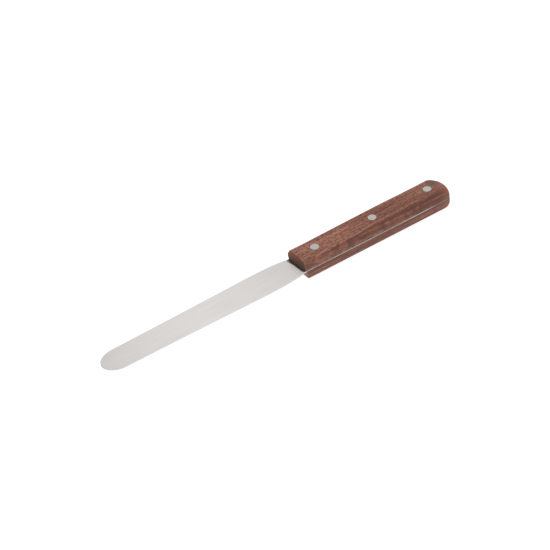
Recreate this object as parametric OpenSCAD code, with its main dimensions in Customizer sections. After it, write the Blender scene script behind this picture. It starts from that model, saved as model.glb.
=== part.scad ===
// Straight palette knife: a steel blade with a full-length tang, two wooden scales, three compression rivets.
// Millimetres. +X points to the tip, +Z up. The knife lies on the flat underside of its lower scale at
// z = 0, and x = 0 is halfway between the tip and the butt.

/* [Blade] */
// free length of the blade, from the handle's front to the tip
blade_len = 136; // [100:0.1:180]
// width of the blade where its long taper ends, in front of the handle
belly_w = 21.3; // [20:0.1:25]
// width of the blade just behind the round tip
tip_w = 18.4; // [15:0.1:19.5]
// length of the round tip
tip_len = 11.5; // [8:0.1:15]
// distance from the handle's front to the end of the long taper
belly_back = 35; // [28:1:40]
// thickness of the tang
tang_t = 0.8; // [0.6:0.05:1.2]
// thickness of the blade at the tip
tip_t = 0.45; // [0.3:0.05:0.55]
// how far the tang stops short of the scales at the butt
tang_back = 0.6; // [0:0.1:1.5]

/* [Handle] */
// width of the handle at its front
front_w = 17.2; // [15:0.1:18.5]
// width of the handle at its butt
butt_w = 19.3; // [18.6:0.1:21]
// height of the handle, over both scales and the tang
handle_h = 15; // [14:0.1:17]
// radius of the slightly bowed sides, seen from the end
side_r = 20; // [16:0.5:30]
// radius of the corner between a scale's side and its flat face
corner_r = 2; // [1.5:0.1:2.5]
// height above the tang at which the upper scale's upright front starts to bevel back
upper_bevel_z = 4.4; // [3:0.1:6]
// how far the bevel takes the top of the upper scale's front back
upper_bevel_in = 0.7; // [0.2:0.1:2]
// how far the lower scale's front stands ahead of the upper scale's, next to the tang
lower_ahead = 1; // [0:0.1:2]
// how far the lower scale's front slopes back down to the flat face
lower_slope_in = 4.2; // [1:0.1:6]
// radius of the butt, seen from above
butt_r = 13.5; // [12.5:0.1:14]
// radius of the rolled edge round the lower scale's butt
lower_roll_r = 3.6; // [2:0.1:5]

/* [Rivets] */
// distance from one rivet to the next
rivet_pitch = 44; // [40:0.5:46]
// distance from the handle's front to the first rivet
front_gap = 13.8; // [12:0.1:18]
// distance from the last rivet to the butt
butt_gap = 14.2; // [14:0.1:18]
// diameter of a rivet head
head_d = 5.7; // [5:0.1:7]
// thickness of a rivet head
head_t = 1.4; // [1:0.1:2]
// outside diameter of a rivet's tube
tube_d = 3.6; // [3.2:0.1:4]
// diameter of a rivet's solid pin
pin_d = 2.2; // [1.8:0.1:2.4]
// gap around a rivet head in its seat, on the radius
seat_gap = 0.05; // [0.03:0.01:0.1]
// gap around a rivet's tube in the scales and the tang, on the radius
tube_gap = 0.1; // [0.05:0.05:0.2]

/* [Hidden] */
$fn = 96;
handle_len = front_gap + 2 * rivet_pitch + butt_gap;
overall = blade_len + handle_len;
tip_x = overall / 2;
front_x = tip_x - blade_len;
butt_x = -overall / 2;
rivet_x = [for (i = [0 : 2]) front_x - front_gap - i * rivet_pitch];
mid_z = handle_h / 2;
scale_t = (handle_h - tang_t) / 2;
taper = atan((butt_w - front_w) / 2 / handle_len);
// how far the flat face of a scale stops short of its side
shoulder_in = side_r - sqrt(pow(side_r - corner_r, 2) - pow(scale_t - corner_r, 2));
// height at which a scale's bowed side runs into its corner radius
corner_z = side_r * (scale_t - corner_r) / (side_r - corner_r);
// radius of the rolled edge round the upper scale's butt
upper_roll_r = min(scale_t - 0.3, butt_r - butt_w / 2 + shoulder_in);
slope_start = 0.4;
pin_fit = 0.01;
tube_end = 0.2;
cut = 1;
far = 60;

// half-width of the blade at a distance d behind the tip
function tip_half(d) = tip_w / 2 * sqrt(1 - pow(1 - d / tip_len, 2));
function taper_half(t) = (tip_w + (belly_w - tip_w) * pow(t, 1.35)) / 2;
function neck_half(t) =
    (2 * t * t * t - 3 * t * t + 1) * belly_w / 2
    + (t * t * t - 2 * t * t + t) * belly_back * 0.02
    + (3 * t * t - 2 * t * t * t) * front_w / 2
    - (t * t * t - t * t) * belly_back * 0.2;

// one edge of the blade, from the tip back to the handle's front
function blade_edge() = concat(
    [for (i = [0 : 40]) let (d = tip_len * (1 - cos(i * 90 / 40))) [tip_x - d, tip_half(d)]],
    [for (i = [1 : 24]) let (t = i / 24)
        [tip_x - tip_len - t * (blade_len - belly_back - tip_len), taper_half(t)]],
    [for (i = [1 : 24]) let (t = i / 24) [front_x + belly_back * (1 - t), neck_half(t)]]
);

// outline of the blade and its tang, with an arc just inside the butt
module knife_outline() {
    edge = concat(blade_edge(), [[butt_x, butt_w / 2]]);
    intersection() {
        polygon(concat(
            edge,
            [for (i = [len(edge) - 1 : -1 : 1]) [edge[i][0], -edge[i][1]]]
        ));
        union() {
            translate([butt_x + butt_r, 0]) circle(r = butt_r - tang_back, $fn = 192);
            translate([butt_x + butt_r, -far / 2]) square([overall, far]);
        }
    }
}

// side view of the blade, tang_t thick to the handle's front and thinner towards the tip
module thickness_profile() {
    polygon([
        [butt_x - cut, -tang_t / 2],
        [front_x, -tang_t / 2],
        [tip_x + cut, -tip_t / 2],
        [tip_x + cut, tip_t / 2],
        [front_x, tang_t / 2],
        [butt_x - cut, tang_t / 2]
    ]);
}

// blade and tang: one piece of sheet steel
module blade() {
    color([0.83, 0.82, 0.80])
    translate([0, 0, mid_z])
    difference() {
        intersection() {
            translate([0, 0, -cut]) linear_extrude(2 * cut) knife_outline();
            rotate([90, 0, 0]) translate([0, 0, -far / 2]) linear_extrude(far) thickness_profile();
        }
        for (x = rivet_x) {
            translate([x, 0, -cut]) cylinder(d = tube_d + 2 * tube_gap, h = 2 * cut);
        }
    }
}

// end view of one side of a scale: the side line is at y = 0 and the tang's face at z = 0
module shoulder_profile() {
    translate([-far / 2, 0]) square([far / 2 - shoulder_in, scale_t]);
    translate([-shoulder_in, scale_t - corner_r]) circle(r = corner_r);
    intersection() {
        translate([-side_r, 0]) circle(r = side_r, $fn = 360);
        translate([-side_r / 2, 0]) square([side_r, corner_z]);
    }
}

// everything inside one of the handle's long sides
module side_prism() {
    translate([front_x, front_w / 2, 0])
    rotate([0, 0, -taper])
    rotate([90, 0, -90])
    mirror([1, 0, 0])
    translate([0, 0, -10])
    linear_extrude(handle_len + 20) shoulder_profile();
}

// everything behind a scale's front: upright up to start_h above the tang, then sloping back by slope_in
module front_prism(ahead, start_h, slope_in) {
    x = front_x + ahead;
    rotate([90, 0, 0])
    translate([0, 0, -far / 2])
    linear_extrude(far) polygon([
        [butt_x - 10, 0],
        [x, 0],
        [x, start_h],
        [x - slope_in, scale_t],
        [butt_x - 10, scale_t]
    ]);
}

// everything in front of the butt, with its edge rolled over by the radius roll_r
module butt_end(roll_r) {
    translate([butt_x + butt_r, -far / 2, 0]) cube([overall, far, scale_t]);
    translate([butt_x + butt_r, 0, 0]) rotate_extrude($fn = 192) union() {
        square([butt_r - roll_r, scale_t]);
        square([butt_r, scale_t - roll_r]);
        intersection() {
            translate([butt_r - roll_r, scale_t - roll_r]) circle(r = roll_r);
            square([butt_r, scale_t]);
        }
    }
}

// one wooden scale, its tang face at z = 0 and its flat face up, bored and seated for the rivets
module scale_body(ahead, start_h, slope_in, roll_r) {
    difference() {
        intersection() {
            side_prism();
            mirror([0, 1, 0]) side_prism();
            front_prism(ahead, start_h, slope_in);
            butt_end(roll_r);
        }
        for (x = rivet_x) {
            translate([x, 0, -cut]) cylinder(d = tube_d + 2 * tube_gap, h = scale_t + 2 * cut);
            translate([x, 0, scale_t - head_t]) cylinder(d = head_d + 2 * seat_gap, h = head_t + cut);
        }
    }
}

module upper_scale() {
    color([0.50, 0.33, 0.27])
    translate([0, 0, mid_z + tang_t / 2])
        scale_body(0, upper_bevel_z, upper_bevel_in, upper_roll_r);
}

module lower_scale() {
    color([0.47, 0.31, 0.26])
    translate([0, 0, mid_z - tang_t / 2]) mirror([0, 0, 1])
        scale_body(lower_ahead, slope_start, lower_slope_in, lower_roll_r);
}

// upper half of a compression rivet: a head flush with the wood and a tube down to the lower head's seat
module rivet_socket(x) {
    color([0.72, 0.71, 0.70])
    translate([x, 0, 0])
    difference() {
        union() {
            translate([0, 0, handle_h - head_t]) cylinder(d = head_d, h = head_t);
            translate([0, 0, head_t + tube_end]) cylinder(d = tube_d, h = handle_h - 2 * head_t - tube_end);
        }
        translate([0, 0, -cut]) cylinder(d = pin_d + 2 * pin_fit, h = handle_h - head_t);
    }
}

// lower half of a compression rivet: a head flush with the underside and a solid pin pressed up the tube
module rivet_pin(x) {
    color([0.72, 0.71, 0.70])
    translate([x, 0, 0]) {
        cylinder(d = head_d, h = head_t);
        cylinder(d = pin_d, h = handle_h - head_t - 2 * cut);
    }
}

module front_rivet_socket() { rivet_socket(rivet_x[0]); }
module front_rivet_pin() { rivet_pin(rivet_x[0]); }
module middle_rivet_socket() { rivet_socket(rivet_x[1]); }
module middle_rivet_pin() { rivet_pin(rivet_x[1]); }
module rear_rivet_socket() { rivet_socket(rivet_x[2]); }
module rear_rivet_pin() { rivet_pin(rivet_x[2]); }

blade();
upper_scale();
lower_scale();
front_rivet_socket();
front_rivet_pin();
middle_rivet_socket();
middle_rivet_pin();
rear_rivet_socket();
rear_rivet_pin();
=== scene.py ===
# Looks of the straight palette knife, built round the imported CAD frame.
# Metres, in the row frame: +X to the tip, +Z up, the underside of the handle on z = 0.
import math

import bmesh
import bpy
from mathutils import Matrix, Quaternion, Vector


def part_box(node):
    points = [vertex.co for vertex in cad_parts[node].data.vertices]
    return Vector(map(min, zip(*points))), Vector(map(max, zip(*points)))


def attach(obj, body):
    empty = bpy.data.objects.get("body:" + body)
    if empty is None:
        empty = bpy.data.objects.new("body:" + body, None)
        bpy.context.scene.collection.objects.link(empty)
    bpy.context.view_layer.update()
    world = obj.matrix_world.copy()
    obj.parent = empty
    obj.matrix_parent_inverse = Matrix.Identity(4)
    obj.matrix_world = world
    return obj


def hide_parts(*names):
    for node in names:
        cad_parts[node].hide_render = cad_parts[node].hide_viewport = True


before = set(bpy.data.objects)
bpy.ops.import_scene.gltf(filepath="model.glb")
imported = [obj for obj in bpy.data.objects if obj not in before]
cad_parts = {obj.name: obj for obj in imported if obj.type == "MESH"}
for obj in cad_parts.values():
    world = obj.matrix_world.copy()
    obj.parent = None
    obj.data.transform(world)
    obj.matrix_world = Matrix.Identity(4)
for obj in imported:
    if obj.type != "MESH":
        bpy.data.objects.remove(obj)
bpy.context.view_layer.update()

MM = 0.001

# ---------------------------------------------------------------- sizes from the frame

BLADE_LOW, BLADE_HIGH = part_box("blade")
UPPER_LOW, UPPER_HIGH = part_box("upper_scale")
LOWER_LOW, LOWER_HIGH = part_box("lower_scale")
RIVETS = ("front", "middle", "rear")

TIP_X = BLADE_HIGH.x
BUTT_X = UPPER_LOW.x
FRONT_X = UPPER_HIGH.x
MID_Z = (BLADE_LOW.z + BLADE_HIGH.z) / 2
SCALE_T = UPPER_HIGH.z - UPPER_LOW.z
TANG_HALF = (BLADE_HIGH.z - BLADE_LOW.z) / 2
HANDLE_LEN = FRONT_X - BUTT_X

# ---------------------------------------------------------------- sizes of the blade

# half-widths of the blade behind its round tip and where it is widest
TIP_HALF = 9.2 * MM
BELLY_HALF = 10.65 * MM
# length of the round tip, and how far the long taper stops short of the handle
TIP_LEN = 11.5 * MM
BELLY_BACK = 35 * MM
# how fast the taper widens, and the slopes at which the neck leaves it and meets the handle
TAPER_POWER = 1.35
NECK_LEAVE_SLOPE = 0.02
NECK_MEET_SLOPE = 0.2
# half the thickness at the tip, and the rounding of the blade's edges
TIP_THICK_HALF = 0.225 * MM
BLADE_EDGE_R = 0.04 * MM
# how far the tang's edge lies inside the wood, and how far behind the front it starts
TANG_IN = 0.1 * MM
TANG_START = 1 * MM
# points round the tip, along each edge, and across the rounding of an edge
TIP_STEPS = 40
EDGE_STEPS = 32
ROUNDING_STEPS = 4

# ---------------------------------------------------------------- sizes of the handle

# half-widths at the front and the butt, and the butt's radius seen from above
FRONT_HALF = 8.6 * MM
BUTT_HALF = 9.65 * MM
BUTT_R = 13.5 * MM
# radius of a scale's bowed side and of the corner above it: as drawn, and along the upper scale's far side
SIDE_R, CORNER_R = 20 * MM, 2 * MM
FAR_SIDE_R, FAR_CORNER_R = 30 * MM, 1.5 * MM
# the far side's corner is tightest at the front, and gets wider over this run
FRONT_FAR_CORNER_R = 0.9 * MM
FAR_CORNER_RUN = 10 * MM
# the far side is as drawn behind the first place, and fuller ahead of the second
FAR_FROM, FAR_TO = -108 * MM, -75 * MM
# the upper scale's front: a little out of square, leaning forward and bevelled more at the far side
SKEW = 0.057
LEAN_FAR = 0.65 * MM
BEVEL_FAR = 1.75 * MM
BEVEL_NEAR = 0.35 * MM
# the bevel's lower edge is an arc: its lowest point, and how fast it curves up beside it (per metre)
BEVEL_LOW_Y = -2.5 * MM
BEVEL_LOW_Z = 4.45 * MM
BEVEL_CURVE = 21.6
# the bevel's least height, how far its lower edge climbs, and the points across each half of the front
BEVEL_LEAST_H = 0.6 * MM
BEVEL_RISE = 1.1 * MM
FRONT_STEPS = 9
# its near corner is arched, and the arch runs out towards the butt
ARCH_HALF = 8.7 * MM
ARCH_LEAST = 0.9 * MM
ARCH_RUN = 14 * MM
ARCH_TOP_POWER = 4.2
ARCH_SIDE_POWER = 0.37
# the lower scale's front stands ahead of the CAD model's and slopes back all the way down
LOWER_AHEAD = 0.4 * MM
SLOPE_Z = 0.4 * MM
SLOPE_IN = 4.4 * MM
# soft edges: along the seams, at the flat end of each front, and round the upright corners
UPPER_SEAM_R = 0.18 * MM
LOWER_SEAM_R = 0.32 * MM
UPPER_CREST_R = 0.2 * MM
LOWER_CREST_R = 0.9 * MM
FRONT_CORNER_R = 0.45 * MM
NEAR_BUTT_CORNER_R = 1.2 * MM
FAR_BUTT_CORNER_R = 3 * MM
CORNER_STEPS = 5
# points along an outline: behind the front, along the side, round the butt, and where the butt takes over
RUN_STEPS = 14
SIDE_STEPS = 24
BUTT_STEPS = 20
BUTT_BLEND_STEPS = 4
# where the front's inner point is taken, as a share of its half-width
INNER_SHARE = 0.8
# rows of an outline stack: over the seam, up the side, round the corner, and their gap at a break
SEAM_SHARES = (0, 0.15, 0.4, 0.7, 1)
SIDE_ROWS = 12
CORNER_ROWS = 16
ROW_GAP = 0.07 * MM

TAPER = (BUTT_HALF - FRONT_HALF) / HANDLE_LEN
SHOULDER_IN = SIDE_R - math.sqrt((SIDE_R - CORNER_R) ** 2 - (SCALE_T - CORNER_R) ** 2)
BUTT_CENTRE_X = BUTT_X + BUTT_R
# radius of the rolled edge round the butt
ROLL_TIGHTER = 0.35 * MM
UPPER_ROLL_R = BUTT_R - BUTT_HALF + SHOULDER_IN - ROLL_TIGHTER
LOWER_ROLL_R = 4.8 * MM

# ---------------------------------------------------------------- sizes of the rivets

# thickness of a head, and radius of the tube and the pin
HEAD_T = 1.4 * MM
TUBE_R = 1.8 * MM
PIN_R = 1.1 * MM
# gaps on the radius: of the pin in the tube, of the tube in the scales, and of a head in its seat
BORE_GAP = 0.01 * MM
TUBE_GAP = 0.1 * MM
SEAT_GAP = 0.1 * MM
# broken edges of a head and its seat, and where the head's breaks in two
HEAD_CHAMFER = 0.12 * MM
SEAT_CHAMFER = 0.06 * MM
CHAMFER_SHARE = 0.3
ROUND_STEPS = 72

# how far a cutter reaches past what it cuts
CUT_OVER = 1 * MM
# angles in degrees past which an edge stays sharp, and the weight of large faces in the shading
BLADE_SHARP = 32
SCALE_SHARP = 16
RIVET_SHARP = 15
FACE_WEIGHT = 80


# ---------------------------------------------------------------- mesh helpers

def root(value):
    """Square root, with a rounding error below zero taken as zero."""
    return math.sqrt(max(0.0, value))


def soft_step(value, low, high):
    """0 below low, 1 above high, and smooth between them."""
    share = min(1.0, max(0.0, (value - low) / (high - low)))
    return share * share * (3 - 2 * share)


def new_piece(name, mesh, node):
    """An object that rides on the root body and stands for a CAD node."""
    piece = bpy.data.objects.new(name, mesh)
    bpy.context.scene.collection.objects.link(piece)
    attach(piece, "root")
    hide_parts(node)
    return piece


def mesh_from(name, points, faces):
    """A closed mesh with its faces turned outwards."""
    mesh = bpy.data.meshes.new(name)
    mesh.from_pydata(points, [], faces)
    work = bmesh.new()
    work.from_mesh(mesh)
    bmesh.ops.recalc_face_normals(work, faces=work.faces)
    work.to_mesh(mesh)
    work.free()
    return mesh


def stacked_outlines(name, rings, lead=2):
    """A solid through rings of points. A ring runs from its front point along the near side to its rear
    point and back along the far side. The ends are closed with strips across, behind one face that takes in
    the first lead points of both sides."""
    count = len(rings[0])
    points = [point for ring in rings for point in ring]
    faces = []
    for level in range(len(rings) - 1):
        for i in range(count):
            a = level * count + i
            b = level * count + (i + 1) % count
            faces.append((a, b, b + count, a + count))
    half = count // 2
    for first in (0, (len(rings) - 1) * count):
        near = [first + i for i in range(half + 1)]
        far = [first] + [first + count - i for i in range(1, half)] + [first + half]
        faces.append((*near[:lead + 1], *far[lead:0:-1]))
        for i in range(lead, half - 2):
            faces.append((near[i], near[i + 1], far[i + 1], far[i]))
        faces.append((near[half - 2], near[half - 1], near[half], far[half - 1], far[half - 2]))
    return mesh_from(name, points, faces)


def turned(name, profile, centre):
    """A solid of revolution round an upright axis. The profile is (radius, height) pairs that start and end
    on the axis."""
    points = []
    rows = []
    for radius, height in profile:
        if radius == 0:
            rows.append([len(points)] * ROUND_STEPS)
            points.append((centre.x, centre.y, height))
            continue
        rows.append(list(range(len(points), len(points) + ROUND_STEPS)))
        for i in range(ROUND_STEPS):
            angle = 2 * math.pi * i / ROUND_STEPS
            x = centre.x + radius * math.cos(angle)
            y = centre.y + radius * math.sin(angle)
            points.append((x, y, height))
    faces = []
    for low, high in zip(rows, rows[1:]):
        for i in range(ROUND_STEPS):
            j = (i + 1) % ROUND_STEPS
            corners = (low[i], low[j], high[j], high[i])
            faces.append(tuple(dict.fromkeys(corners)))
    return mesh_from(name, points, faces)


def cut(mesh, cutters):
    """Takes closed cutter meshes out of a mesh."""
    body = bpy.data.objects.new("cut_body", mesh)
    bpy.context.scene.collection.objects.link(body)
    tools = []
    for tool_mesh in cutters:
        tool = bpy.data.objects.new("cut_tool", tool_mesh)
        bpy.context.scene.collection.objects.link(tool)
        tools.append(tool)
        modifier = body.modifiers.new("cut", "BOOLEAN")
        modifier.operation = "DIFFERENCE"
        modifier.solver = "EXACT"
        modifier.object = tool
    graph = bpy.context.evaluated_depsgraph_get()
    result = bpy.data.meshes.new_from_object(body.evaluated_get(graph))
    for item in [body, *tools]:
        bpy.data.objects.remove(item)
    result.name = mesh.name
    return result


def smooth(piece, angle):
    """Smooth shading that keeps crisp edges and flat faces flat."""
    piece.data.shade_smooth()
    piece.data.set_sharp_from_angle(angle=math.radians(angle))
    weighted = piece.modifiers.new("weighted_normals", "WEIGHTED_NORMAL")
    weighted.keep_sharp = True
    weighted.weight = FACE_WEIGHT


def fillet(corner, along_a, along_b, radius):
    """Points of the arc that rounds a corner between two directions that lead away from it."""
    a = Vector(along_a).normalized()
    b = Vector(along_b).normalized()
    half_angle = a.angle(b) / 2
    centre = Vector(corner) + (a + b).normalized() * radius / math.sin(half_angle)
    reach = radius / math.tan(half_angle)
    start = Vector(corner) + a * reach - centre
    end = Vector(corner) + b * reach - centre
    turn = start.angle_signed(end)
    points = []
    for i in range(CORNER_STEPS + 1):
        angle = -turn * i / CORNER_STEPS
        c, s = math.cos(angle), math.sin(angle)
        points.append(centre + Vector((start.x * c - start.y * s, start.x * s + start.y * c)))
    return points


# ---------------------------------------------------------------- the two wooden scales

def bowed_side(z, x, side_r, corner_r):
    """Half-width of a scale at height z above the tang: a bowed side that runs into a corner radius."""
    half = FRONT_HALF + (FRONT_X - x) * TAPER
    corner_z = side_r * (SCALE_T - corner_r) / (side_r - corner_r)
    if z <= corner_z:
        return half - side_r + root(side_r ** 2 - z ** 2)
    shoulder_in = side_r - root((side_r - corner_r) ** 2 - (SCALE_T - corner_r) ** 2)
    return half - shoulder_in + root(corner_r ** 2 - (z - SCALE_T + corner_r) ** 2)


def regular_side(z, x):
    """The side as drawn."""
    return bowed_side(z, x, SIDE_R, CORNER_R)


def far_side(z, x):
    """The upper scale's far side: fuller, with a tighter corner, squarest at the front."""
    at_front = soft_step(x, FRONT_X - FAR_CORNER_RUN, FRONT_X)
    corner_r = FAR_CORNER_R + (FRONT_FAR_CORNER_R - FAR_CORNER_R) * at_front
    full = bowed_side(z, x, FAR_SIDE_R, corner_r)
    plain = regular_side(z, x)
    return plain + (full - plain) * soft_step(x, FAR_FROM, FAR_TO)


def arched_side(z, x):
    """The upper scale's near side: at the front its corner is one round arch from the top to the tang."""
    side = regular_side(z, x)
    below = max(0.0, 1 - (z / SCALE_T) ** ARCH_TOP_POWER)
    arch = ARCH_LEAST + (ARCH_HALF - ARCH_LEAST) * below ** ARCH_SIDE_POWER
    return side + (arch - side) * soft_step(x, FRONT_X - ARCH_RUN, FRONT_X)


def upper_front(z, y):
    """Where the upper scale's front is, at height z above the tang and y across."""
    share = ((1 - y / FRONT_HALF) / 2) ** 2
    bevel = BEVEL_NEAR + (BEVEL_FAR - BEVEL_NEAR) * share
    start = min(BEVEL_LOW_Z + BEVEL_CURVE * (y - BEVEL_LOW_Y) ** 2, SCALE_T - BEVEL_LEAST_H)
    lean = LEAN_FAR * share * min(1.0, z / start)
    return FRONT_X - SKEW * y + lean - bevel * max(0.0, z - start) / (SCALE_T - start)


def lower_front(z, y):
    """Where the lower scale's front is, at a height z from its tang face. It is the same whatever y is."""
    return LOWER_HIGH.x + LOWER_AHEAD - SLOPE_IN * max(0.0, z - SLOPE_Z) / (SCALE_T - SLOPE_Z)


def butt_radius(z, roll_r):
    """Radius of the rolled butt at height z above the tang."""
    up = max(0.0, z - SCALE_T + roll_r)
    return BUTT_R - roll_r + root(roll_r ** 2 - up ** 2)


def half_outline(side, front_x, inner, radius, corner_r):
    """One half of an outline, from the corner of its front to the middle of its butt. side gives the
    half-width at x, front_x is the front's corner, inner is a point of the front just inside it, radius is
    the butt's, and corner_r rounds the corner between side and butt."""
    step = 0.05 * MM
    fit_rounds = 12

    def edge(x):
        return Vector((x, side(x)))

    front = edge(front_x)
    points = fillet(front, inner - front, edge(front_x - step) - front, FRONT_CORNER_R)
    rear_x = BUTT_CENTRE_X
    for _ in range(fit_rounds):
        rear_x = BUTT_CENTRE_X - root(radius ** 2 - edge(rear_x).y ** 2)
    rear = edge(rear_x)
    spoke = rear - Vector((BUTT_CENTRE_X, 0))
    corner = fillet(rear, edge(rear_x + step) - rear, (-abs(spoke.y), spoke.x), corner_r)
    near_end = points[-1].x
    run_end = FRONT_X - ARCH_RUN
    points += [edge(near_end + (run_end - near_end) * i / RUN_STEPS) for i in range(1, RUN_STEPS + 1)]
    points += [edge(run_end + (corner[0].x - run_end) * i / SIDE_STEPS) for i in range(1, SIDE_STEPS)]
    points += corner
    last = corner[-1] - Vector((BUTT_CENTRE_X, 0))
    start = math.atan2(last.y, last.x)
    reach = last.length
    for i in range(1, BUTT_STEPS):
        angle = start + (math.pi - start) * i / BUTT_STEPS
        grown = reach + (radius - reach) * min(1.0, i / BUTT_BLEND_STEPS)
        points.append(Vector((BUTT_CENTRE_X + grown * math.cos(angle), grown * math.sin(angle))))
    return points


def scale_heights(seam_r, break_z, break_h=0.0):
    """Heights above the tang, close together where the section curves most and where the front breaks back,
    from break_z to break_h above it."""
    corner_z = SIDE_R * (SCALE_T - CORNER_R) / (SIDE_R - CORNER_R)
    heights = [seam_r * share for share in SEAM_SHARES]
    heights += [seam_r + (corner_z - seam_r) * i / SIDE_ROWS for i in range(1, SIDE_ROWS)]
    start = math.asin((corner_z - SCALE_T + CORNER_R) / CORNER_R)
    for i in range(CORNER_ROWS + 1):
        angle = start + (math.pi / 2 - start) * i / CORNER_ROWS
        heights.append(SCALE_T - CORNER_R + CORNER_R * math.sin(angle))
    clear = 2 * ROW_GAP
    heights = [z for z in heights if z < break_z - clear or z > break_z + break_h + clear]
    rows = round(break_h / clear) + 1
    span = break_h + clear
    return sorted(heights + [break_z - ROW_GAP + i * span / rows for i in range(rows + 1)])


def scale_mesh(name, front, sides, heights, soft, roll_r, up):
    """One scale as a stack of outlines. front gives the front's place, sides are the near and the far side,
    soft is the seam's and the crest's radius, and up is 1 for the upper scale and -1 for the lower one."""
    seam_r, crest_r = soft
    rings = []
    for z in heights:
        crest = max(0.0, z - SCALE_T + crest_r)
        seam = max(0.0, seam_r - z)
        inset = seam_r - root(seam_r ** 2 - seam ** 2)
        back = crest_r - root(crest_r ** 2 - crest ** 2) + inset
        radius = butt_radius(z, roll_r) - inset
        centre_x = front(z, 0) - back
        halves = []
        for way, side, corner_r in zip((1, -1), sides, (NEAR_BUTT_CORNER_R, FAR_BUTT_CORNER_R)):
            half = side(z, FRONT_X) - inset
            front_x = front(z, way * half) - back
            inner_y = half * INNER_SHARE
            inner = Vector((front(z, way * inner_y) - back, inner_y))
            line = half_outline(lambda x: side(z, x) - inset, front_x, inner, radius, corner_r)
            across = [line[0].y * i / FRONT_STEPS for i in range(1, FRONT_STEPS)]
            line = [Vector((front(z, way * y) - back, y)) for y in across] + line
            halves.append([Vector((point.x, way * point.y)) for point in line])
        near, far = halves
        ring = [Vector((centre_x, 0))] + near + [Vector((BUTT_CENTRE_X - radius, 0))] + far[::-1]
        height = MID_Z + up * (TANG_HALF + z)
        rings.append([(point.x, point.y, height) for point in ring])
    return stacked_outlines(name, rings, FRONT_STEPS + 2)


def rivet_centres():
    """The middle of each rivet, from the frame."""
    centres = []
    for rivet in RIVETS:
        low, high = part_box(rivet + "_rivet_socket")
        centres.append((low + high) / 2)
    return centres


def seat_cutters(face_z, up):
    """What the rivets take out of a scale whose flat face is at face_z: a bore and a seat with a broken
    edge."""
    low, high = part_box("front_rivet_socket")
    seat_r = (high.x - low.x) / 2 + SEAT_GAP
    inner = face_z - up * (SCALE_T + CUT_OVER)
    profile = [
        (0, inner),
        (TUBE_R + TUBE_GAP, inner),
        (TUBE_R + TUBE_GAP, face_z - up * HEAD_T),
        (seat_r, face_z - up * HEAD_T),
        (seat_r, face_z - up * SEAT_CHAMFER),
        (seat_r + SEAT_CHAMFER, face_z),
        (seat_r + SEAT_CHAMFER, face_z + up * CUT_OVER),
        (0, face_z + up * CUT_OVER),
    ]
    return [turned("seat", profile, centre) for centre in rivet_centres()]


def make_scales():
    """The upper and the lower scale."""
    heights = scale_heights(UPPER_SEAM_R, BEVEL_LOW_Z, BEVEL_RISE)
    upper = scale_mesh(
        "upper_scale_wood", upper_front, (arched_side, far_side), heights,
        (UPPER_SEAM_R, UPPER_CREST_R), UPPER_ROLL_R, 1)
    heights = scale_heights(LOWER_SEAM_R, SLOPE_Z)
    lower = scale_mesh(
        "lower_scale_wood", lower_front, (regular_side, regular_side), heights,
        (LOWER_SEAM_R, LOWER_CREST_R), LOWER_ROLL_R, -1)
    upper = cut(upper, seat_cutters(UPPER_HIGH.z, 1))
    lower = cut(lower, seat_cutters(LOWER_LOW.z, -1))
    pieces = [
        new_piece("upper_scale_wood", upper, "upper_scale"),
        new_piece("lower_scale_wood", lower, "lower_scale"),
    ]
    for piece in pieces:
        smooth(piece, SCALE_SHARP)
    return pieces


# ---------------------------------------------------------------- the blade

def blade_half_outline():
    """One half of the outline of blade and tang, from just behind the tip to just before the middle of the
    butt."""
    points = []
    for i in range(1, TIP_STEPS + 1):
        back = TIP_LEN * (1 - math.cos(math.radians(90 * i / TIP_STEPS)))
        points.append(Vector((TIP_X - back, TIP_HALF * root(1 - (1 - back / TIP_LEN) ** 2))))
    blade_len = TIP_X - FRONT_X
    for i in range(1, EDGE_STEPS + 1):
        t = i / EDGE_STEPS
        x = TIP_X - TIP_LEN - t * (blade_len - BELLY_BACK - TIP_LEN)
        points.append(Vector((x, TIP_HALF + (BELLY_HALF - TIP_HALF) * t ** TAPER_POWER)))
    for i in range(1, EDGE_STEPS + 1):
        t = i / EDGE_STEPS
        neck = (2 * t ** 3 - 3 * t ** 2 + 1) * BELLY_HALF + (3 * t ** 2 - 2 * t ** 3) * FRONT_HALF
        neck += (t ** 3 - 2 * t ** 2 + t) * BELLY_BACK * NECK_LEAVE_SLOPE
        neck -= (t ** 3 - t ** 2) * BELLY_BACK * NECK_MEET_SLOPE
        points.append(Vector((FRONT_X + BELLY_BACK * (1 - t), neck)))
    front_x = FRONT_X - TANG_IN
    radius = BUTT_CENTRE_X - BLADE_LOW.x
    inner = Vector((front_x, 0))
    tang = half_outline(lambda x: regular_side(0, x) - TANG_IN, front_x, inner, radius, NEAR_BUTT_CORNER_R)
    return points + [point for point in tang if point.x < FRONT_X - TANG_START]


def inward(outline, first, last):
    """Unit vectors that point into an outline at each of its points."""
    line = [first] + outline + [last]
    result = []
    for before, after in zip(line, line[2:]):
        along = (after - before).normalized()
        result.append(Vector((-along.y, along.x)) * (-1 if along.x > 0 else 1))
    return result


def blade_thickness_half(x):
    """Half the blade's thickness, which falls from the handle's front to the tip."""
    share = min(1.0, max(0.0, (x - FRONT_X) / (TIP_X - FRONT_X)))
    return TANG_HALF + (TIP_THICK_HALF - TANG_HALF) * share


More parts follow.
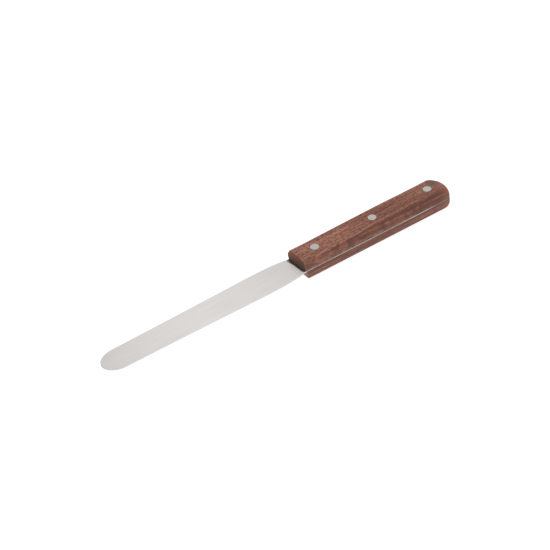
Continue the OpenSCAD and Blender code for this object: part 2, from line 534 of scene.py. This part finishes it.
def make_blade():
    """Blade and tang, one sheet of steel with slightly rounded edges."""
    outline = blade_half_outline()
    tip = Vector((TIP_X, 0))
    butt = Vector((BLADE_LOW.x, 0))
    normals = inward(outline, tip, butt)
    rings = []
    steps = ROUNDING_STEPS
    turns = [-90 + 90 * i / steps for i in range(steps + 1)]
    turns += [90 * i / steps for i in range(steps + 1)]
    for level, degrees in enumerate(turns):
        side = -1 if level <= steps else 1
        angle = math.radians(abs(degrees))
        inset = BLADE_EDGE_R * (1 - math.cos(angle))
        drop = BLADE_EDGE_R * (1 - math.sin(angle))
        near = [point + normal * inset for point, normal in zip(outline, normals)]
        ring = [tip - Vector((inset, 0))] + near + [butt + Vector((inset, 0))]
        ring += [Vector((point.x, -point.y)) for point in reversed(near)]
        rings.append([
            (point.x, point.y, MID_Z + side * (blade_thickness_half(point.x) - drop)) for point in ring
        ])
    mesh = stacked_outlines("blade_sheet", rings)
    hole_r = TUBE_R + TUBE_GAP
    low, high = MID_Z - CUT_OVER, MID_Z + CUT_OVER
    profile = [(0, low), (hole_r, low), (hole_r, high), (0, high)]
    mesh = cut(mesh, [turned("hole", profile, centre) for centre in rivet_centres()])
    piece = new_piece("blade_sheet", mesh, "blade")
    smooth(piece, BLADE_SHARP)
    return piece


# ---------------------------------------------------------------- the rivets

def make_rivets():
    """Each compression rivet as its two halves: a head with a tube, and a head with a pin."""
    pieces = []
    broken = HEAD_CHAMFER * CHAMFER_SHARE
    for rivet, centre in zip(RIVETS, rivet_centres()):
        low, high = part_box(rivet + "_rivet_socket")
        head_r = (high.x - low.x) / 2
        under = high.z - HEAD_T
        tube_low = low.z
        socket = [
            (0, high.z),
            (head_r - HEAD_CHAMFER, high.z),
            (head_r - broken, high.z - broken),
            (head_r, high.z - HEAD_CHAMFER),
            (head_r, under),
            (TUBE_R, under),
            (TUBE_R, tube_low),
            (PIN_R + BORE_GAP, tube_low),
            (PIN_R + BORE_GAP, under),
            (0, under),
        ]
        low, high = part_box(rivet + "_rivet_pin")
        over = low.z + HEAD_T
        pin = [
            (0, low.z),
            (head_r - HEAD_CHAMFER, low.z),
            (head_r - broken, low.z + broken),
            (head_r, low.z + HEAD_CHAMFER),
            (head_r, over),
            (PIN_R, over),
            (PIN_R, high.z),
            (0, high.z),
        ]
        for half, profile in (("socket", socket), ("pin", pin)):
            name = rivet + "_rivet_" + half + "_steel"
            mesh = turned(name, profile, centre)
            piece = new_piece(name, mesh, rivet + "_rivet_" + half)
            smooth(piece, RIVET_SHARP)
            pieces.append(piece)
    return pieces


# ---------------------------------------------------------------- material helpers

class Shader:
    """A material whose nodes are added and linked one call at a time."""

    def __init__(self, name):
        self.material = bpy.data.materials.new(name)
        self.material.use_nodes = True
        self.tree = self.material.node_tree
        self.bsdf = self.tree.nodes["Principled BSDF"]

    def fill(self, socket, value):
        """Links an output socket to an input, or sets the input to a number, a colour or a vector."""
        if isinstance(value, bpy.types.NodeSocket):
            self.tree.links.new(value, socket)
        else:
            socket.default_value = value

    def node(self, kind, inputs=None, **settings):
        """Adds a node. Inputs are numbers, colours or the output sockets that feed them."""
        made = self.tree.nodes.new(kind)
        for name, value in settings.items():
            setattr(made, name, value)
        for name, value in (inputs or {}).items():
            self.fill(made.inputs[name], value)
        return made

    def place(self, scale, offset=(0, 0, 0)):
        """The point of the object, in the row frame, stretched by scale (per metre)."""
        point = self.node("ShaderNodeTexCoord").outputs["Object"]
        mapped = self.node("ShaderNodeMapping", {"Vector": point, "Scale": scale, "Location": offset})
        return mapped.outputs["Vector"]

    def noise(self, vector, detail=3.0, roughness=0.5):
        """Noise from 0 to 1."""
        inputs = {"Vector": vector, "Scale": 1.0, "Detail": detail, "Roughness": roughness}
        return self.node("ShaderNodeTexNoise", inputs).outputs["Fac"]

    def axes(self):
        """The point of the object, in the row frame, as X, Y and Z in metres."""
        return self.node("ShaderNodeSeparateXYZ", {"Vector": self.place((1, 1, 1))}).outputs

    def normal(self):
        """The surface's own normal, in the row frame."""
        return self.node("ShaderNodeTexCoord").outputs["Normal"]

    def vector(self, operation, first, second=(0, 0, 0)):
        """One step of vector arithmetic."""
        return self.node("ShaderNodeVectorMath", {0: first, 1: second}, operation=operation).outputs

    def ramp(self, value, low, high, to_low=0.0, to_high=1.0):
        """Maps low..high of a value to to_low..to_high, smoothly and clamped."""
        inputs = {"Value": value, "From Min": low, "From Max": high, "To Min": to_low, "To Max": to_high}
        return self.node("ShaderNodeMapRange", inputs, interpolation_type="SMOOTHSTEP").outputs["Result"]

    def math(self, operation, first, second=0.0):
        """One arithmetic step."""
        made = self.node("ShaderNodeMath", operation=operation)
        self.fill(made.inputs[0], first)
        self.fill(made.inputs[1], second)
        return made.outputs[0]

    def sum(self, first, *others):
        """Adds up values."""
        for other in others:
            first = self.math("ADD", first, other)
        return first

    def scaled(self, first, second):
        """Multiplies two values."""
        return self.math("MULTIPLY", first, second)

    def mix(self, share, first, second):
        """Mixes two colours."""
        made = self.node("ShaderNodeMix", data_type="RGBA")
        for socket, value in ((made.inputs[0], share), (made.inputs[6], first), (made.inputs[7], second)):
            self.fill(socket, value)
        return made.outputs[2]

    def bump(self, height, strength, distance):
        """A bump from a height of 0 to 1."""
        inputs = {"Height": height, "Strength": strength, "Distance": distance}
        return self.node("ShaderNodeBump", inputs).outputs["Normal"]

    def feed(self, **inputs):
        """Links or sets the sockets of the surface shader. Names use _ for a space."""
        for name, value in inputs.items():
            self.fill(self.bsdf.inputs[name.replace("_", " ")], value)


def put_on(pieces, material):
    """Gives pieces one material."""
    for piece in pieces:
        piece.data.materials.clear()
        piece.data.materials.append(material)


def map_across(pieces):
    """A UV map that runs across the knife, so that the highlight of steel brushed along X spreads across
    it."""
    scale = 4
    tilt = 0.3
    for piece in pieces:
        uv = piece.data.uv_layers.new(name="across")
        for loop in piece.data.loops:
            point = piece.data.vertices[loop.vertex_index].co
            uv.data[loop.index].uv = (scale * (point.y + point.z * tilt), scale * point.x)


# ---------------------------------------------------------------- materials

# the wood from dark to light, its flecks and pores, and the grey stain at the butt
WOOD_DARK = (0.175, 0.064, 0.044, 1)
WOOD_MID = (0.300, 0.122, 0.082, 1)
WOOD_LIGHT = (0.480, 0.222, 0.148, 1)
WOOD_FLECK = (0.090, 0.045, 0.038, 1)
WOOD_PORE = (0.045, 0.022, 0.018, 1)
WOOD_STAIN = (0.110, 0.075, 0.070, 1)
# the handle's front: its upright face (end grain, darkened further with painted shade), a painted highlight
# at the face's far end, the bevel above it and the slope below
FACE_GRAIN_AND_SHADE = (0.155, 0.100, 0.073, 1)
FACE_GLARE = (0.420, 0.300, 0.260, 1)
BEVEL_GRAIN = (0.300, 0.100, 0.058, 1)
SLOPE_GRAIN = (0.300, 0.190, 0.155, 1)
# the worn front end of the lower scale
WORN = (0.235, 0.150, 0.125, 1)
# the wood towards the butt, and the end grain on the roll round it, partly painted light on the near side of
# the roll
BUTT_TONE = (0.400, 0.175, 0.115, 1)
BUTT_GRAIN_AND_LIGHT = (0.275, 0.086, 0.038, 1)
# the blade and its edge, and the tang's edge where it is bright, darker and darkened at the butt
STEEL = (0.540, 0.520, 0.505, 1)
STEEL_EDGE = (0.56, 0.55, 0.54, 1)
TANG_EDGE = (0.56, 0.535, 0.505, 1)
TANG_DARKER = (0.36, 0.34, 0.32, 1)
TANG_REAR = (0.22, 0.20, 0.185, 1)
RIVET = (0.70, 0.66, 0.63, 1)
# how much darker the dark brush lines of the blade and of the rivets are
BLADE_LINE_SHARE = 0.88
RIVET_LINE_SHARE = 0.86

# growth rings: their spacing, how far they wander, and where their middle line is for each scale
RING = 1.7 * MM
RING_WANDER = 5.5 * MM
RING_WANDER_TOP = RING_WANDER * 0.2
RING_FINE = RING * 0.7
UPPER_PITH = (-31 * MM, 2.5 * MM)
LOWER_PITH = (24 * MM, -30 * MM)

# noise, in waves per metre along X, Y and Z
WANDER_WAVES = (95, 30, 30)
FINE_WAVES = (70, 420, 420)
STREAK_WAVES = (30, 700, 700)
LIGHT_WAVES = (11, 850, 850)
DRIFT_WAVES = (16, 110, 110)
FLECK_WAVES = (430, 1000, 1000)
PORE_WAVES = (800, 4200, 4200)
CREST_WAVES = (45, 0, 0)
BRUSH_WAVES = (30, 3200, 900)
CLOUD_WAVES = (14, 60, 60)
SCRATCH_WAVES = (120, 4200, 4200)
MOTTLE_WAVES = (300, 500, 500)

# where the looks change: from the first place, where a change starts, to the second, where it is complete
WANDER_Y = (2 * MM, 7 * MM)
NEAR_Y = (4 * MM, 8 * MM)
PAINTED_LIGHT_X = (-62 * MM, -15 * MM)
PAINTED_LIGHT_Y = (5 * MM, -7 * MM)
SHADE_X = (-110 * MM, -18 * MM)
STAIN_X = (-113 * MM, -118 * MM)
STAIN_FROM_MIDDLE = (5 * MM, 2 * MM)
STAIN_MIDDLE_Y = -3.5 * MM
BUTT_X_SPAN = (-112 * MM, -122 * MM)
WORN_X = (-11.9 * MM, -11.4 * MM)
FACE_EDGE = (0.15 * MM, -0.15 * MM)
GLARE_Y = (-6.5 * MM, -8.3 * MM)
GLARE_UP = (-1.8 * MM, -0.6 * MM)
# the light line along the near shoulder: the range in which it waves, and its half-width
CREST_Y = (4.8 * MM, 7 * MM)
CREST_HALF = 1.4 * MM
# the direction in which the butt's orange shows: end grain, with painted light where the roll faces this way
BUTT_LIGHT_FACING = (-0.72, 0.5, 0.48)
# the tang's edge is darkest at this place, and darkens towards the butt
TANG_DARKEST_X = -23 * MM
TANG_DARKER_RUN = (12 * MM, 2 * MM)
TANG_REAR_X = (-100 * MM, -114 * MM)

# the range of a thing's noise over which it comes up
LIGHT_NOISE = (0.52, 0.66)
FLECK_NOISE = (0.5, 0.6)
PORE_NOISE = (0.58, 0.68)
CREST_NOISE = (0.3, 0.7)
CLOUD_NOISE = (0.4, 0.6)
LINE_NOISE = (0.3, 0.7)
MIXED_NOISE = (0.35, 0.65)
# the shares of a growth ring over which it darkens, and then lightens again
RING_DARKENS = (0.15, 0.75)
RING_LIGHTENS = (0.78, 1.0)
# how squarely a surface faces along X, or along Z for the blade's edge, where a look starts and is complete
FRONT_FACING = (0.5, 0.8)
FACE_FACING = (0.8, 0.9)
EDGE_FACING = (0.9, 0.4)
# the same for the butt's end grain and its painted light, along the direction above
BUTT_GRAIN_AND_LIGHT_FACING = (0.8, 0.96)

# the wood's tone, low for dark wood and high for light: where the mid colour comes up, and the light one
TONE_MID = (0.34, 0.5)
TONE_LIGHT = (0.48, 0.64)
# what is added to the tone everywhere, by a full streak, by a light streak and by the line on the shoulder
TONE_BASE = 0.25
STREAK_AMOUNT = 0.5
LIGHT_AMOUNT = 0.11
CREST_AMOUNT = 0.07
# the weight of its drift, its rings and its flecks, away from the near shoulder and on it
DRIFT_AMOUNT = (0.5, 0.2)
RING_AMOUNT = (0.08, 0.095)
FLECK_AMOUNT = (0.85, 0.6)
PORE_AMOUNT = 0.6
# the weight of the painted light at the front and of the painted shade along the near shoulder, at the first
# and the second of their places
PAINTED_LIGHT_AMOUNT = (0.35, 1.25)
SHADE_AMOUNT = (0.155, 0.05)
# how far a colour covers what is under it
FRONT_COVER = 0.75
FACE_COVER = 0.85
GLARE_COVER = 0.8
BUTT_COVER = 0.3
BUTT_GRAIN_AND_LIGHT_COVER = 0.85
STAIN_COVER = 0.75
TANG_DARKER_COVER = 0.8
TANG_REAR_COVER = 0.85

# roughness, from the low end of the noise that drives it to the high end
WOOD_ROUGH = (0.52, 0.66)
BLADE_ROUGH = (0.42, 0.5)
RIVET_ROUGH = (0.52, 0.62)
# how much smoother the sheet's edge is than its faces, along the tang and on the blade
EDGE_POLISH = (-0.05, 0.25)
# how strongly bumps show, and the depth of the wood's pores and of brush lines in metal
WOOD_BUMP = 0.3
BLADE_BUMP = 0.2
RIVET_BUMP = 0.25
WOOD_DEPTH = 0.06 * MM
BRUSH_DEPTH = 0.01 * MM


def growth_rings(shader, pith, offset):
    """Growth rings round a line along X: 0 in the light wood, 1 in the dark. They wander most along the near
    shoulder, where they lie almost level with the surface and show as arches."""
    flat = shader.vector("MULTIPLY", shader.place((1, 1, 1)), (0, 1, 1))[0]
    spoke = shader.vector("SUBTRACT", flat, (0, *pith))[0]
    reach = shader.vector("LENGTH", spoke)["Value"]
    wander = shader.noise(shader.place(WANDER_WAVES, offset), detail=1.0, roughness=0.4)
    wander = shader.math("SUBTRACT", wander, 0.5)
    amount = shader.ramp(shader.axes()["Y"], *WANDER_Y, RING_WANDER_TOP, RING_WANDER)
    fine = shader.math("SUBTRACT", shader.noise(shader.place(FINE_WAVES, offset), detail=2.0), 0.5)
    reach = shader.sum(reach, shader.scaled(wander, amount), shader.scaled(fine, RING_FINE))
    turns = shader.math("FRACT", shader.math("DIVIDE", reach, RING))
    return shader.math("SUBTRACT", shader.ramp(turns, *RING_DARKENS), shader.ramp(turns, *RING_LIGHTENS))


def wood_crest(shader, place, offset):
    """1 along the middle of the light, waving line on the near shoulder, and 0 beside it."""
    wave = shader.noise(shader.place(CREST_WAVES, offset), detail=1.0)
    beside = shader.math("SUBTRACT", place["Y"], shader.ramp(wave, *CREST_NOISE, *CREST_Y))
    return shader.ramp(shader.math("ABSOLUTE", beside), CREST_HALF, 0.0)


def wood_tone(shader, place, near, streak, pith, offset, lift, front_painted_light):
    """How light the wood is: its streaks, drift and rings, with painted light added at the front, painted
    shade where that amount is below zero, and painted shade along the near shoulder."""
    drift = shader.noise(shader.place(DRIFT_WAVES, offset), detail=2.0)
    drift = shader.scaled(shader.math("SUBTRACT", drift, 0.5), shader.ramp(near, 0, 1, *DRIFT_AMOUNT))
    drift = shader.math("ADD", drift, TONE_BASE)
    tone = shader.math("ADD", shader.scaled(streak, STREAK_AMOUNT), drift)
    ring = shader.scaled(growth_rings(shader, pith, offset), shader.ramp(near, 0, 1, *RING_AMOUNT))
    tone = shader.math("SUBTRACT", tone, ring)
    # painted light at the front, strongest towards the far side, and painted shade at the lower scale's
    # front, where the amount is below zero
    front = shader.ramp(place["X"], *PAINTED_LIGHT_X)
    front = shader.scaled(front, shader.ramp(place["Y"], *PAINTED_LIGHT_Y, *PAINTED_LIGHT_AMOUNT))
    tone = shader.math("ADD", tone, shader.math("ADD", shader.scaled(front, front_painted_light), lift))
    light = shader.noise(shader.place(LIGHT_WAVES, offset), detail=2.0)
    tone = shader.math("ADD", tone, shader.ramp(light, *LIGHT_NOISE, 0.0, LIGHT_AMOUNT))
    tone = shader.math("ADD", tone, shader.scaled(wood_crest(shader, place, offset), CREST_AMOUNT))
    shade = shader.scaled(near, shader.ramp(place["X"], *SHADE_X, *SHADE_AMOUNT))
    return shader.math("SUBTRACT", tone, shade)


def wood_front(shader, colour, place, front_grain):
    """Colours the handle's front: what slopes, the worn end of the lower scale, and the upright face, whose
    end grain is darkened further with painted shade and whose far end has a painted highlight.
    """
    facing = shader.node("ShaderNodeSeparateXYZ", {"Vector": shader.normal()}).outputs["X"]
    colour = shader.mix(shader.ramp(facing, *FRONT_FACING, 0.0, FRONT_COVER), colour, front_grain)
    low = shader.ramp(place["Z"], MID_Z + TANG_HALF, MID_Z - TANG_HALF)
    worn = shader.scaled(shader.ramp(place["X"], *WORN_X), low)
    colour = shader.mix(worn, colour, WORN)
    aside = shader.math("SUBTRACT", place["Y"], BEVEL_LOW_Y)
    curve = shader.scaled(shader.scaled(aside, aside), BEVEL_CURVE)
    bevel_z = shader.math("ADD", curve, BEVEL_LOW_Z)
    above_tang = shader.math("SUBTRACT", place["Z"], MID_Z + TANG_HALF)
    above = shader.math("SUBTRACT", above_tang, bevel_z)
    # the upright face: end grain, darkened further with painted shade
    below = shader.ramp(above, *FACE_EDGE, 0.0, FACE_COVER)
    face = shader.scaled(shader.ramp(facing, *FACE_FACING), below)
    # a painted highlight on the far end of the upright face
    glare = shader.ramp(place["Y"], *GLARE_Y, 0.0, GLARE_COVER)
    glare = shader.scaled(glare, shader.ramp(above, *GLARE_UP))
    return shader.mix(face, colour, shader.mix(glare, FACE_GRAIN_AND_SHADE, FACE_GLARE))


def wood_butt(shader, colour, place):
    """Colours the butt: a warmer tone towards it, and on the near side of its roll orange end grain, partly
    painted light.
    """
    colour = shader.mix(shader.ramp(place["X"], *BUTT_X_SPAN, 0.0, BUTT_COVER), colour, BUTT_TONE)
    # the roll's orange: end grain, and painted light on the side that faces this direction
    facing = shader.vector("DOT_PRODUCT", shader.normal(), BUTT_LIGHT_FACING)["Value"]
    return shader.mix(shader.ramp(facing, *BUTT_GRAIN_AND_LIGHT_FACING, 0.0, BUTT_GRAIN_AND_LIGHT_COVER), colour, BUTT_GRAIN_AND_LIGHT)


def wood_stain(shader, colour, place):
    """A grey stain at the far side of the butt."""
    beside = shader.math("ABSOLUTE", shader.math("SUBTRACT", place["Y"], STAIN_MIDDLE_Y))
    across = shader.ramp(beside, *STAIN_FROM_MIDDLE, 0.0, STAIN_COVER)
    stain = shader.scaled(shader.ramp(place["X"], *STAIN_X), across)
    return shader.mix(stain, colour, WOOD_STAIN)


def wood(name, offset, pith, lift, front_painted_light, front_grain):
    """Oiled reddish-brown hardwood with its grain along X: growth rings, light streaks, dark flecks and
    pores, with painted shade along the near shoulder and on the front face, a painted highlight at the face's
    far end and painted light on the butt's roll. lift is how far its colours are raised towards the light
    ones, front_painted_light is painted light added at the front, painted shade where it is below zero, and
    front_grain is what its sloping front shows."""
    shader = Shader(name)
    place = shader.axes()
    near = shader.ramp(place["Y"], *NEAR_Y)
    streak = shader.noise(shader.place(STREAK_WAVES, offset), roughness=0.55)
    tone = wood_tone(shader, place, near, streak, pith, offset, lift, front_painted_light)
    colour = shader.mix(shader.ramp(tone, *TONE_MID), WOOD_DARK, WOOD_MID)
    colour = shader.mix(shader.ramp(tone, *TONE_LIGHT), colour, WOOD_LIGHT)
    fleck = shader.noise(shader.place(FLECK_WAVES, offset), roughness=0.7)
    flecks = shader.ramp(fleck, *FLECK_NOISE, 0.0, shader.ramp(near, 0, 1, *FLECK_AMOUNT))
    colour = shader.mix(flecks, colour, WOOD_FLECK)
    pore = shader.noise(shader.place(PORE_WAVES, offset), detail=2.0)
    pores = shader.ramp(pore, *PORE_NOISE, 0.0, PORE_AMOUNT)
    colour = shader.mix(pores, colour, WOOD_PORE)
    colour = wood_stain(shader, colour, place)
    colour = wood_front(shader, colour, place, front_grain)
    colour = wood_butt(shader, colour, place)
    rough = shader.ramp(streak, *LINE_NOISE, *WOOD_ROUGH)
    height = shader.math("SUBTRACT", shader.scaled(streak, 0.5), shader.math("MAXIMUM", pores, flecks))
    bump = shader.bump(height, WOOD_BUMP, WOOD_DEPTH)
    shader.feed(Base_Color=colour, Roughness=rough, Normal=bump, Specular_IOR_Level=0.2)
    return shader.material


def darker(colour, share):
    """A colour with its parts scaled by share."""
    return tuple(share * part for part in colour[:3]) + (1,)


def tang_tint(shader, along, cloud):
    """The tang's edge between the scales: bright and darker by turns, darkest near the front, dark at the
    butt."""
    tint = shader.mix(shader.ramp(cloud, *CLOUD_NOISE), TANG_DARKER, TANG_EDGE)
    from_darkest = shader.math("ABSOLUTE", shader.math("SUBTRACT", along, TANG_DARKEST_X))
    tint = shader.mix(shader.ramp(from_darkest, *TANG_DARKER_RUN, 0.0, TANG_DARKER_COVER), tint, TANG_DARKER)
    return shader.mix(shader.ramp(along, *TANG_REAR_X, 0.0, TANG_REAR_COVER), tint, TANG_REAR)


def brushed(name, offset):
    """The blade's steel, brushed along X, with a smoother edge ahead of the handle and a duller one along the
    tang. It goes on pieces that map_across has mapped."""
    shader = Shader(name)
    lines = shader.noise(shader.place(BRUSH_WAVES, offset), roughness=0.65)
    cloud = shader.noise(shader.place(CLOUD_WAVES, offset), detail=2.0)
    tint = shader.mix(shader.ramp(lines, *LINE_NOISE), darker(STEEL, BLADE_LINE_SHARE), STEEL)
    up = shader.node("ShaderNodeSeparateXYZ", {"Vector": shader.normal()}).outputs["Z"]
    edge = shader.ramp(shader.math("ABSOLUTE", up), *EDGE_FACING)
    along = shader.axes()["X"]
    on_blade = shader.ramp(along, FRONT_X - TANG_START, FRONT_X)
    edge_tint = shader.mix(on_blade, tang_tint(shader, along, cloud), STEEL_EDGE)
    tint = shader.mix(edge, tint, edge_tint)
    mixed = shader.math("ADD", shader.scaled(lines, 0.6), shader.scaled(cloud, 0.4))
    polish = shader.scaled(edge, shader.ramp(on_blade, 0, 1, *EDGE_POLISH))
    rough = shader.math("SUBTRACT", shader.ramp(mixed, *MIXED_NOISE, *BLADE_ROUGH), polish)
    bump = shader.bump(lines, BLADE_BUMP, BRUSH_DEPTH)
    across = shader.node("ShaderNodeTangent", direction_type="UV_MAP", uv_map="across").outputs["Tangent"]
    shader.feed(Base_Color=tint, Metallic=1.0, Roughness=rough, Anisotropic=0.8, Normal=bump, Tangent=across)
    return shader.material


def ground(name, offset):
    """The rivets' steel, ground flush with the wood: an even satin with fine scratches along X."""
    shader = Shader(name)
    lines = shader.noise(shader.place(SCRATCH_WAVES, offset), roughness=0.65)
    mottle = shader.noise(shader.place(MOTTLE_WAVES, offset), detail=2.0)
    tint = shader.mix(shader.ramp(lines, *LINE_NOISE), darker(RIVET, RIVET_LINE_SHARE), RIVET)
    rough = shader.ramp(mottle, *LINE_NOISE, *RIVET_ROUGH)
    bump = shader.bump(lines, RIVET_BUMP, BRUSH_DEPTH)
    shader.feed(Base_Color=tint, Metallic=1.0, Roughness=rough, Normal=bump)
    return shader.material


# ---------------------------------------------------------------- stage, light and camera

FLOOR_HALF = 3.0
FLOOR_COLOUR = (0.5, 0.5, 0.5, 1)
FLOOR_GLOW = 0.85
WORLD_STRENGTH = 0.45
# the key light, beyond the butt and high up: angles in degrees, metres and watts
KEY_AZIMUTH, KEY_ELEVATION = -88, 73
KEY_DISTANCE = 4
KEY_SIDE = 0.22
KEY_POWER = 62
# the camera: angles in degrees, and millimetres for lens and sensor
CAMERA_AZIMUTH, CAMERA_ELEVATION, CAMERA_ROLL = 150.83, 38.44, -8.19
CAMERA_AIM = (5.17 * MM, -1.86 * MM, MID_Z)
CAMERA_DISTANCE = 0.7843
CAMERA_NEAREST = 0.01
LENS = 85.1
SENSOR = 36


def make_floor():
    """A plain pale floor."""
    corners = [(x * FLOOR_HALF, y * FLOOR_HALF, 0) for x, y in ((-1, -1), (1, -1), (1, 1), (-1, 1))]
    mesh = mesh_from("studio_floor", corners, [(0, 1, 2, 3)])
    floor = bpy.data.objects.new("studio_floor", mesh)
    bpy.context.scene.collection.objects.link(floor)
    shader = Shader("studio_floor")
    shader.feed(
        Base_Color=FLOOR_COLOUR, Roughness=0.9, Emission_Color=(1, 1, 1, 1), Emission_Strength=FLOOR_GLOW)
    put_on([floor], shader.material)


def direction(azimuth, elevation):
    """The unit vector from the object to a viewer. Azimuth 0 looks along +Y, 90 along -X."""
    a, e = math.radians(azimuth), math.radians(elevation)
    return Vector((math.sin(a) * math.cos(e), -math.cos(a) * math.cos(e), math.sin(e)))


def face_along(item, back):
    """Turns a lamp or a camera to face away from the direction back."""
    item.rotation_mode = "QUATERNION"
    item.rotation_quaternion = (-back).to_track_quat("-Z", "Y")


def make_key_light():
    """A small distant softbox beyond the butt, whose light falls steeply along the knife."""
    light = bpy.data.lights.new("softbox", "AREA")
    light.shape = "RECTANGLE"
    light.size = KEY_SIDE
    light.size_y = KEY_SIDE
    light.energy = KEY_POWER
    lamp = bpy.data.objects.new("softbox", light)
    bpy.context.scene.collection.objects.link(lamp)
    back = direction(KEY_AZIMUTH, KEY_ELEVATION)
    lamp.location = back * KEY_DISTANCE
    face_along(lamp, back)


def make_world():
    """An even white room round the object."""
    world = bpy.data.worlds.new("studio")
    bpy.context.scene.world = world
    world.use_nodes = True
    background = world.node_tree.nodes["Background"]
    background.inputs["Color"].default_value = (1, 1, 1, 1)
    background.inputs["Strength"].default_value = WORLD_STRENGTH


def make_camera():
    """The photograph's viewing angle."""
    camera_data = bpy.data.cameras.new("camera")
    camera_data.sensor_width = SENSOR
    camera_data.lens = LENS
    camera_data.clip_start = CAMERA_NEAREST
    camera = bpy.data.objects.new("camera", camera_data)
    bpy.context.scene.collection.objects.link(camera)
    back = direction(CAMERA_AZIMUTH, CAMERA_ELEVATION)
    camera.location = Vector(CAMERA_AIM) + back * CAMERA_DISTANCE
    face_along(camera, back)
    roll = Quaternion((0, 0, 1), math.radians(CAMERA_ROLL))
    camera.rotation_quaternion = camera.rotation_quaternion @ roll
    bpy.context.scene.camera = camera
    bpy.context.scene.view_settings.view_transform = "Standard"


# ---------------------------------------------------------------- everything

scales = make_scales()
blade = make_blade()
rivets = make_rivets()
# each scale's front amount is painted light at its front: above zero on the upper scale, below zero (painted
# shade) on the lower
upper_wood = wood(
    "upper_wood", offset=(0.0, 0.0, 0.0), pith=UPPER_PITH, lift=0.035, front_painted_light=0.125,
    front_grain=BEVEL_GRAIN)
lower_wood = wood(
    "lower_wood", offset=(3.1, 7.7, 2.9), pith=LOWER_PITH, lift=0.035, front_painted_light=-0.165,
    front_grain=SLOPE_GRAIN)
put_on(scales[:1], upper_wood)
put_on(scales[1:], lower_wood)
map_across([blade])
put_on([blade], brushed("blade_steel", (0, 0, 0)))
put_on(rivets, ground("rivet_steel", (1.3, 0.7, 0.2)))
make_floor()
make_world()
make_key_light()
make_camera()
